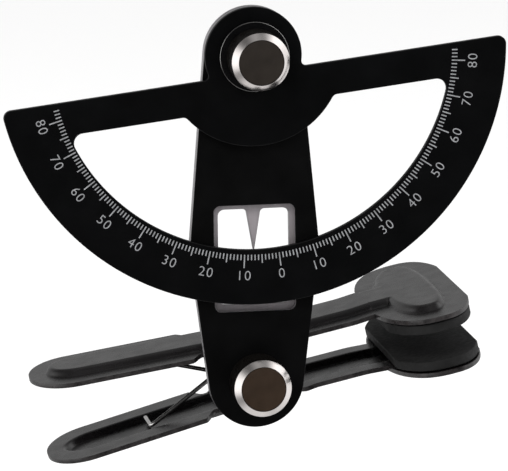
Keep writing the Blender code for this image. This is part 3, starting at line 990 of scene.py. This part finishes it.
def inside_outline(s, y, middle, back, front, half):
    """Roughly how far inside a rounded outline a point is."""
    reach, power = (back, BACK_POWER) if s < middle else (front, FRONT_POWER)
    along, across = abs(s - middle) / reach, abs(y) / half
    size = (along**power + across**power) ** (1 / power)
    if size < 0.1:
        return front
    slope = math.hypot((along / size) ** (power - 1) / reach, (across / size) ** (power - 1) / half)
    return (1 - size) / slope


def inside_press(s, y):
    """Roughly how far inside the foot of the pressed rib or panel a point is."""
    past_end = min(s - (RIB_END + RIB_HALF), 0)
    rib = RIB_HALF - math.hypot(past_end, y) if s < PANEL_MIDDLE else -PRESS_WALL
    return max(rib, inside_outline(s, y, PANEL_MIDDLE, PANEL_BACK, PANEL_FRONT, PANEL_HALF))


def jaw_half_width(s):
    """Half the jaw's width at s, and 0 where the jaw has not begun."""
    reach, power = (JAW_BACK, BACK_POWER) if s < JAW_MIDDLE else (JAW_FRONT, FRONT_POWER)
    return JAW_HALF * max(1 - (abs(s - JAW_MIDDLE) / reach) ** power, 0) ** (1 / power)


def leaf_half_width(s, ear_half):
    """Half the leaf's width at s."""
    if s < HANDLE_END + HANDLE_ROUND:
        reach = (HANDLE_END + HANDLE_ROUND - s) / HANDLE_ROUND
        return HANDLE_HALF * math.sqrt(max(1 - reach**2, 0.0))
    if s < EAR_FROM:
        return HANDLE_HALF + (ear_half - HANDLE_HALF) * smooth(s, EAR_FROM - SHOULDER, EAR_FROM)
    neck = ear_half + (NECK_HALF - ear_half) * smooth(s, EAR_TO, EAR_TO + SHOULDER)
    return max(neck, jaw_half_width(s))


def leaf_base(s):
    """Height of the flat sheet's middle: it slopes along the handle and steps at the neck and jaw."""
    handle = HANDLE_SLOPE * max(HANDLE_BEND - s, 0)
    neck = NECK_DROP * smooth(s, *NECK_STEP)
    jaw = (NECK_DROP - JAW_DROP) * smooth(s, *JAW_STEP)
    return LEAF_HEIGHT + handle - neck + jaw


def leaf_height(s, y):
    """Height of the sheet's middle with the pressed rib and panel."""
    return leaf_base(s) + PRESS_RISE * smooth(inside_press(s, y), 0, PRESS_WALL)


def leaf_rows():
    """Places along the leaf, closer together at its tip, its shoulder and the start of the jaw."""
    tip = [HANDLE_END + HANDLE_ROUND * (1 - math.cos(math.radians(a))) for a in range(3, 91, 2)]
    body = []
    s = tip[-1]
    join = JAW_MIDDLE - JAW_BACK * (1 - (NECK_HALF / JAW_HALF) ** BACK_POWER) ** (1 / BACK_POWER)
    while s < join - BODY_ROWS_STOP:
        fine = EAR_FROM - SHOULDER - SHOULDER_MARGIN < s < EAR_FROM + SHOULDER_MARGIN
        s += FINE_ROW_STEP if fine else ROW_STEP
        body.append(s)
    jaw = [join - before for before in JOIN_ROWS]
    s = join
    while s < JAW_ROWS_END:
        s += FINE_JAW_ROW_STEP if s < join + FINE_JAW_LENGTH else JAW_ROW_STEP
        jaw.append(s)
    end = [s + (JAW_END - s) * i / END_ROWS for i in range(1, END_ROWS + 1)]
    return tip + [s for s in body if s < join - BODY_ROWS_CLEAR] + jaw + end


def ear_outline():
    """Straight sides from the sheet's underside to a round eye about the pin."""
    root = LEAF_HEIGHT + EAR_SINK

    def lean(reach):
        return 90 + math.degrees(math.atan2(root, reach)) - tangent_angle(math.hypot(root, reach), EAR_R)

    eye = arc((0, 0), EAR_R, 90 + lean(-EAR_FROM), 450 - lean(EAR_TO), 64)
    return [(EAR_TO, root), (EAR_FROM, root)] + eye


def ear_mesh(name, ear_half, side, flip):
    outline = [(x, flip * y) for x, y in ear_outline()]
    mesh = plate_mesh(name, [outline, circle(BORE_R, 48)], LEAF_SHEET, EAR_EDGE)
    middle = side * (ear_half - LEAF_SHEET / 2)
    stand = Matrix.Rotation(math.radians(90), 4, "X")
    mesh.transform(Matrix.Translation((0, middle + LEAF_SHEET / 2, 0)) @ stand)
    return mesh


def sheet_mesh(name, flip, sheet_half):
    """The middle surface of a pressed leaf, as rows of points across it."""
    shape = bmesh.new()
    rows = []
    columns = range(-LEAF_COLUMNS, LEAF_COLUMNS + 1)
    for s in leaf_rows():
        half = max(leaf_half_width(s, sheet_half), LEAF_TIP_HALF)
        row = []
        for j in columns:
            crowded = math.sin(math.pi * j / 2 / LEAF_COLUMNS)
            y = half * (EDGE_CROWDING * crowded + (1 - EDGE_CROWDING) * j / LEAF_COLUMNS)
            row.append(shape.verts.new((s, y, flip * leaf_height(s, y))))
        rows.append(row)
    for low, high in zip(rows, rows[1:]):
        for j in range(len(low) - 1):
            shape.faces.new((low[j], high[j], high[j + 1], low[j + 1]))
    mesh = bpy.data.meshes.new(name)
    shape.to_mesh(mesh)
    shape.free()
    return mesh


def thickened(obj):
    """A new mesh of the sheet with its thickness and eased edges."""
    shell = obj.modifiers.new("Sheet", "SOLIDIFY")
    shell.thickness = LEAF_SHEET
    shell.offset = 0
    ease = obj.modifiers.new("Eased edges", "BEVEL")
    ease.width = LEAF_EDGE
    ease.segments = 2
    ease.limit_method = "ANGLE"
    ease.angle_limit = math.radians(LEAF_EDGE_ANGLE)
    ease.use_clamp_overlap = True
    graph = bpy.context.evaluated_depsgraph_get()
    solid = bpy.data.meshes.new_from_object(obj.evaluated_get(graph))
    obj.modifiers.clear()
    return solid


def leaf(name, node, flip, ear_half, body):
    """One half of the clip: a pressed sheet with two ears for the pin."""
    mesh = sheet_mesh(name, flip, ear_half - EAR_INSET)
    obj = piece(name, mesh, body, "clip_steel", clip_frame(), CLIP, replaces=[node], tilted=True)
    whole = bmesh.new()
    whole.from_mesh(thickened(obj))
    for side in (-1, 1):
        ear = ear_mesh(f"{name}_ear", ear_half, side, flip)
        ear.transform(clip_frame())
        whole.from_mesh(ear)
    whole.to_mesh(mesh)
    whole.free()
    shade(obj, 40)


def pad(name, node, flip, body):
    """The rubber layer under a jaw, a little smaller than the jaw all round."""
    long = JAW_END - PAD_INSET - PAD_FROM
    stations = [PAD_FROM + long * i / PAD_STATIONS for i in range(PAD_STATIONS + 1)]
    side = [(s, leaf_half_width(s, NECK_HALF) - PAD_INSET) for s in stations]
    outline = side + [(s, -y) for s, y in reversed(side)]
    mesh = plate_mesh(name, [outline], PAD_THICK, PAD_EDGE)
    level = LEAF_HEIGHT - JAW_DROP - LEAF_SHEET / 2 - GAP - PAD_THICK
    mesh.transform(Matrix.Translation((0, 0, level)))
    if flip < 0:
        mesh.transform(Matrix.Rotation(math.pi, 4, "X"))
    shade(piece(name, mesh, body, "grip_rubber", clip_frame(), RUBBER, replaces=[node], tilted=True))


def coil_touch():
    """Angle round the pin at which the lower leg leaves the coil."""
    to_tip = math.degrees(math.atan2(LEG_HEIGHT, LEG_REACH))
    return 180 + to_tip - tangent_angle(math.hypot(LEG_REACH, LEG_HEIGHT), COIL_R)


def coil_points():
    """The coil, from where the lower leg leaves it to where the upper leg does."""
    touch = coil_touch()
    turn = 2 * touch + 360 * COIL_EXTRA_TURNS
    steps = round(turn / 8)
    points = []
    for i in range(steps + 1):
        a = math.radians(touch - turn * i / steps)
        y = -COIL_HALF + 2 * COIL_HALF * i / steps
        points.append(Vector((COIL_R * math.cos(a), y, COIL_R * math.sin(a))))
    return points


def bent(points, radius=1.2 * MM, steps=6):
    """An open line with its inner corners rounded."""
    line = [points[0]]
    for last, here, after in zip(points, points[1:], points[2:]):
        first = here + (last - here).normalized() * radius
        end = here + (after - here).normalized() * radius
        for k in range(steps + 1):
            t = k / steps
            line.append(first * (1 - t) ** 2 + here * 2 * t * (1 - t) + end * t * t)
    return line + [points[-1]]


def leg_line(start, side):
    """A leg's middle line from the coil to its hook. The lower leg has side -1, the upper 1."""
    tip = Vector((-LEG_REACH, side * COIL_HALF, side * LEG_HEIGHT))
    hook = Vector((-LEG_REACH, side * (COIL_HALF - HOOK), side * LEG_HEIGHT))
    return bent([start, tip, hook])


def wire_piece(name, line, body):
    mesh = tube_mesh(name, line, WIRE_R)
    obj = piece(
        name, mesh, body, "spring_wire", clip_frame(), WIRE,
        replaces=["torsion_spring"], tilted=True,
    )
    return shade(obj, 50)


def spring():
    """Two legs that ride with their leaves, and a coil between them that is attached to no body."""
    coil = coil_points()
    wire_piece("spring_lower_leg", leg_line(coil[0], -1), "clip_base")
    wire_piece("spring_upper_leg", leg_line(coil[-1], 1), "upper_jaw")
    obj = wire_piece("spring_coil", coil, None)
    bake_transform(obj)


def carried_over():
    """CAD nodes that stay as they are, deep inside the pivots."""
    for node in ("arm_bush", "protractor_bush"):
        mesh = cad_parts[node].data
        mesh.materials.clear()
        mesh.materials.append(STEEL)


# ---- studio

CAMERA_AZIMUTH = -8.885
CAMERA_ELEVATION = 10.292
CAMERA_ROLL = -0.764
CAMERA_AWAY = 1003.6 * MM
CAMERA_LENS = 354.33
CAMERA_SENSOR = 36
AIM_RIGHT = -0.37 * MM
AIM_DROP = 36.44 * MM

FLOOR_SIZE = 3.0
FLOOR_DROP = 0.12

LIGHT_SIZE = 0.9
LIGHT_TARGET = (0, 0, 0.03)
LIGHTS = (
    # name, place, power and colour
    ("key", (-0.9, -0.9, 1.3), 22, (1.0, 0.98, 0.96)),
    ("fill", (1.1, -0.8, 0.7), 9, (0.95, 0.97, 1.0)),
)

DOME_LIGHT = 0.92  # what matt surfaces are lit by, all round

# What bright surfaces mirror, by angle round the dial's axis: 0 is the jaws' side, 0.25 is up
RING_OF_LIGHT = [
    (0.0, 0.9), (0.03, 1.0), (0.08, 1.3), (0.14, 1.3), (0.167, 0.65), (0.196, 0.25), (0.225, 0.2),
    (0.258, 0.38), (0.292, 0.28), (0.328, 0.11), (0.361, 0.11), (0.396, 0.3), (0.432, 1.1),
    (0.467, 1.3), (0.533, 1.3), (0.561, 0.9), (0.592, 0.3), (0.619, 0.25), (0.647, 0.5),
    (0.675, 0.72), (0.772, 0.75), (0.817, 0.6), (0.861, 0.7), (0.903, 0.9), (0.947, 0.95), (1.0, 0.9),
]
RING_BRIGHTEST = 1.5  # a ramp's colours stop at 1, so it holds the ring divided by this
BACK_BLEND = (0.45, 0.8)  # where, towards +Y, the ring gives way to what stands behind the clip
BACK_HEIGHTS = (0.15, 0.75)
BACK_LIGHT = (0.47, 0.16)  # how bright that is at those two heights
FRONT_BLEND = (-0.85, -0.5)  # and where, towards -Y, it gives way to the dark front
FRONT_LIGHT = 0.05


def photo_camera():
    """The camera stands well back, a little left of the dial and above it."""
    data = bpy.data.cameras.new("camera")
    data.lens = CAMERA_LENS
    data.sensor_width = CAMERA_SENSOR
    data.clip_start = 0.01
    data.clip_end = 20
    obj = bpy.data.objects.new("camera", data)
    bpy.context.scene.collection.objects.link(obj)
    azimuth = math.radians(CAMERA_AZIMUTH)
    elevation = math.radians(CAMERA_ELEVATION)
    level = math.cos(elevation)
    back = Vector((math.sin(azimuth) * level, -math.cos(azimuth) * level, math.sin(elevation)))
    aim = Vector((TOP[0] + AIM_RIGHT, front_of("protractor_plate"), TOP[1] - AIM_DROP))
    roll = Matrix.Rotation(math.radians(CAMERA_ROLL), 4, "Z")
    turn = back.to_track_quat("Z", "Y").to_matrix().to_4x4() @ roll
    obj.matrix_world = Matrix.Translation(aim + back * CAMERA_AWAY) @ turn
    bpy.context.scene.camera = obj


def studio_floor():
    """A pale floor below the clip, left out of reflections."""
    shape = bmesh.new()
    bmesh.ops.create_grid(shape, x_segments=8, y_segments=8, size=FLOOR_SIZE)
    mesh = bpy.data.meshes.new("floor")
    shape.to_mesh(mesh)
    shape.free()
    finish = Finish("floor_pale", (0.9, 0.9, 0.9), 0.9, 0.0, 0.0)
    mesh.materials.append(finish.made)
    obj = bpy.data.objects.new("floor", mesh)
    obj.location.z = CAD_BOX[0].z - FLOOR_DROP
    bpy.context.scene.collection.objects.link(obj)
    obj.visible_glossy = False


def area_light(name, place, power, colour):
    """A soft round light, left out of reflections."""
    data = bpy.data.lights.new(name, "AREA")
    data.shape = "DISK"
    data.size = LIGHT_SIZE
    data.energy = power
    data.color = colour
    obj = bpy.data.objects.new(name, data)
    obj.location = place
    obj.rotation_euler = (Vector(LIGHT_TARGET) - Vector(place)).to_track_quat("-Z", "Y").to_euler()
    bpy.context.scene.collection.objects.link(obj)
    obj.visible_glossy = False


def studio_world():
    """White to the camera, an even dome for matt surfaces, and the ring of light for bright ones."""
    world = bpy.data.worlds.new("studio")
    bpy.context.scene.world = world
    world.use_nodes = True
    tree = world.node_tree
    tree.nodes.clear()

    def node(kind, **values):
        made = tree.nodes.new(kind)
        for key, value in values.items():
            setattr(made, key, value)
        return made

    def math_node(operation, *values):
        made = node("ShaderNodeMath", operation=operation)
        for socket, value in zip(made.inputs, values):
            if isinstance(value, bpy.types.NodeSocket):
                tree.links.new(value, socket)
            else:
                socket.default_value = value
        return made.outputs["Value"]

    def step(value, low, high, start=0.0, end=1.0):
        made = node("ShaderNodeMapRange", interpolation_type="SMOOTHSTEP")
        tree.links.new(value, made.inputs["Value"])
        for key, number in (("From Min", low), ("From Max", high), ("To Min", start), ("To Max", end)):
            made.inputs[key].default_value = number
        return made.outputs["Result"]

    where = node("ShaderNodeTexCoord")
    parts = node("ShaderNodeSeparateXYZ")
    tree.links.new(where.outputs["Generated"], parts.inputs["Vector"])
    x, y, z = parts.outputs
    turn = math_node("ARCTAN2", z, x)
    turn = math_node("DIVIDE", turn, 2 * math.pi)
    turn = math_node("FRACT", math_node("ADD", turn, 1.0))
    ring = node("ShaderNodeValToRGB")
    elements = ring.color_ramp.elements
    while len(elements) < len(RING_OF_LIGHT):
        elements.new(0.5)
    for element, (position, value) in zip(elements, RING_OF_LIGHT):
        share = value / RING_BRIGHTEST
        element.position = position
        element.color = (share, share, share, 1)
    tree.links.new(turn, ring.inputs["Fac"])
    round_light = math_node("MULTIPLY", ring.outputs["Color"], RING_BRIGHTEST)

    back = step(y, *BACK_BLEND)
    low_back = step(z, *BACK_HEIGHTS, *BACK_LIGHT)
    front = step(y, *FRONT_BLEND, 1.0, 0.0)
    blend = node("ShaderNodeMix", data_type="FLOAT")
    tree.links.new(back, blend.inputs["Factor"])
    tree.links.new(round_light, blend.inputs["A"])
    tree.links.new(low_back, blend.inputs["B"])
    dark = node("ShaderNodeMix", data_type="FLOAT")
    tree.links.new(front, dark.inputs["Factor"])
    tree.links.new(blend.outputs["Result"], dark.inputs["A"])
    dark.inputs["B"].default_value = FRONT_LIGHT

    seen = node("ShaderNodeBackground")
    seen.inputs["Color"].default_value = (1.0, 1.0, 1.0, 1)
    lit = node("ShaderNodeBackground")
    tree.links.new(dark.outputs["Result"], lit.inputs["Color"])
    even = node("ShaderNodeBackground")
    even.inputs["Color"].default_value = (DOME_LIGHT, DOME_LIGHT, DOME_LIGHT, 1)
    path = node("ShaderNodeLightPath")
    soft = node("ShaderNodeMixShader")
    tree.links.new(path.outputs["Is Diffuse Ray"], soft.inputs["Fac"])
    tree.links.new(lit.outputs["Background"], soft.inputs[1])
    tree.links.new(even.outputs["Background"], soft.inputs[2])
    pick = node("ShaderNodeMixShader")
    tree.links.new(path.outputs["Is Camera Ray"], pick.inputs["Fac"])
    tree.links.new(soft.outputs["Shader"], pick.inputs[1])
    tree.links.new(seen.outputs["Background"], pick.inputs[2])
    out = node("ShaderNodeOutputWorld")
    tree.links.new(pick.outputs["Shader"], out.inputs["Surface"])


def main():
    dial()
    dial_print()
    arm()
    washers()
    pins()
    for prefix in ("upper", "lower"):
        knob_body(prefix)
        knob_cap(prefix)
    leaf("upper_clip", "upper_leaf", 1, UPPER_EAR_HALF, "upper_jaw")
    leaf("lower_clip", "lower_leaf", -1, LOWER_EAR_HALF, "clip_base")
    pad("upper_pad", "upper_grip_pad", 1, "upper_jaw")
    pad("lower_pad", "lower_grip_pad", -1, "clip_base")
    spring()
    carried_over()
    studio_floor()
    studio_world()
    for light in LIGHTS:
        area_light(*light)
    photo_camera()
    bpy.context.scene.view_settings.view_transform = "Standard"


main()
